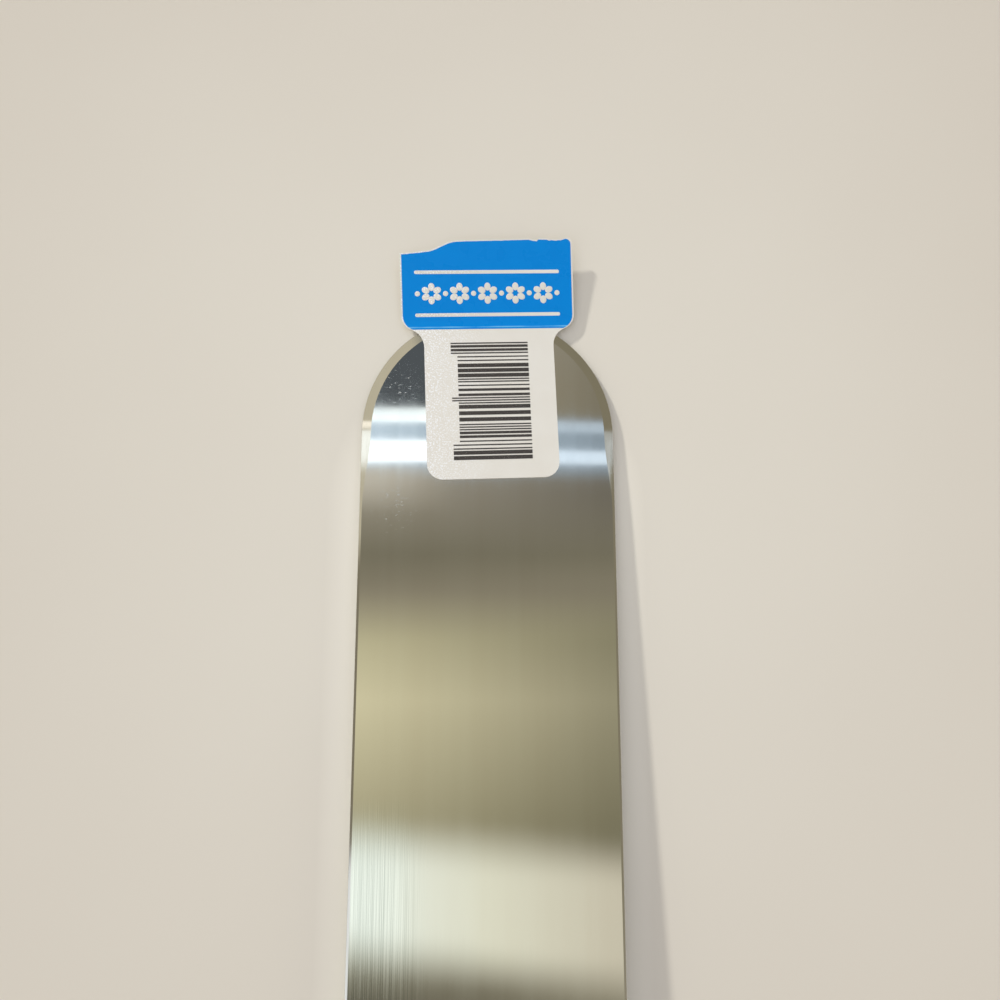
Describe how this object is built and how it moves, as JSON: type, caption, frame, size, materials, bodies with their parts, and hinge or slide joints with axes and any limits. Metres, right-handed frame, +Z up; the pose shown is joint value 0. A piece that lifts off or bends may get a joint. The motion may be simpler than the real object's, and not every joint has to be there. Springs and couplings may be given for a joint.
{
  "type": "icing spatula",
  "caption": "Straight icing spatula: long flexible steel blade with a round ground tip, full tang in a riveted wooden handle, and a torn paper tag glued at the tip.",
  "frame": {"origin": "under the middle of the whole part's box, level with the flat underside of the handle", "axes": "+Y along the blade from the handle to the tip, +Z up out of the blade's face that carries the tag, +X across the blade"},
  "size_m": [0.052, 0.3972, 0.024],
  "materials": {
    "polished_steel": "mirror polish with fine lengthwise lines",
    "oiled_hardwood": "sanded and oiled",
    "rivet_brass": "sanded flush with the wood",
    "tag_card": "coated card, glossy blue print on the header"
  },
  "bodies": {
    "root": {"blade": "polished_steel", "handle_scale_upper": "oiled_hardwood", "handle_scale_lower": "oiled_hardwood", "rivet_1_socket": "rivet_brass", "rivet_1_pin": "rivet_brass", "rivet_2_socket": "rivet_brass", "rivet_2_pin": "rivet_brass", "rivet_3_socket": "rivet_brass", "rivet_3_pin": "rivet_brass", "hang_tag": "tag_card"}
  },
  "joints": []
}
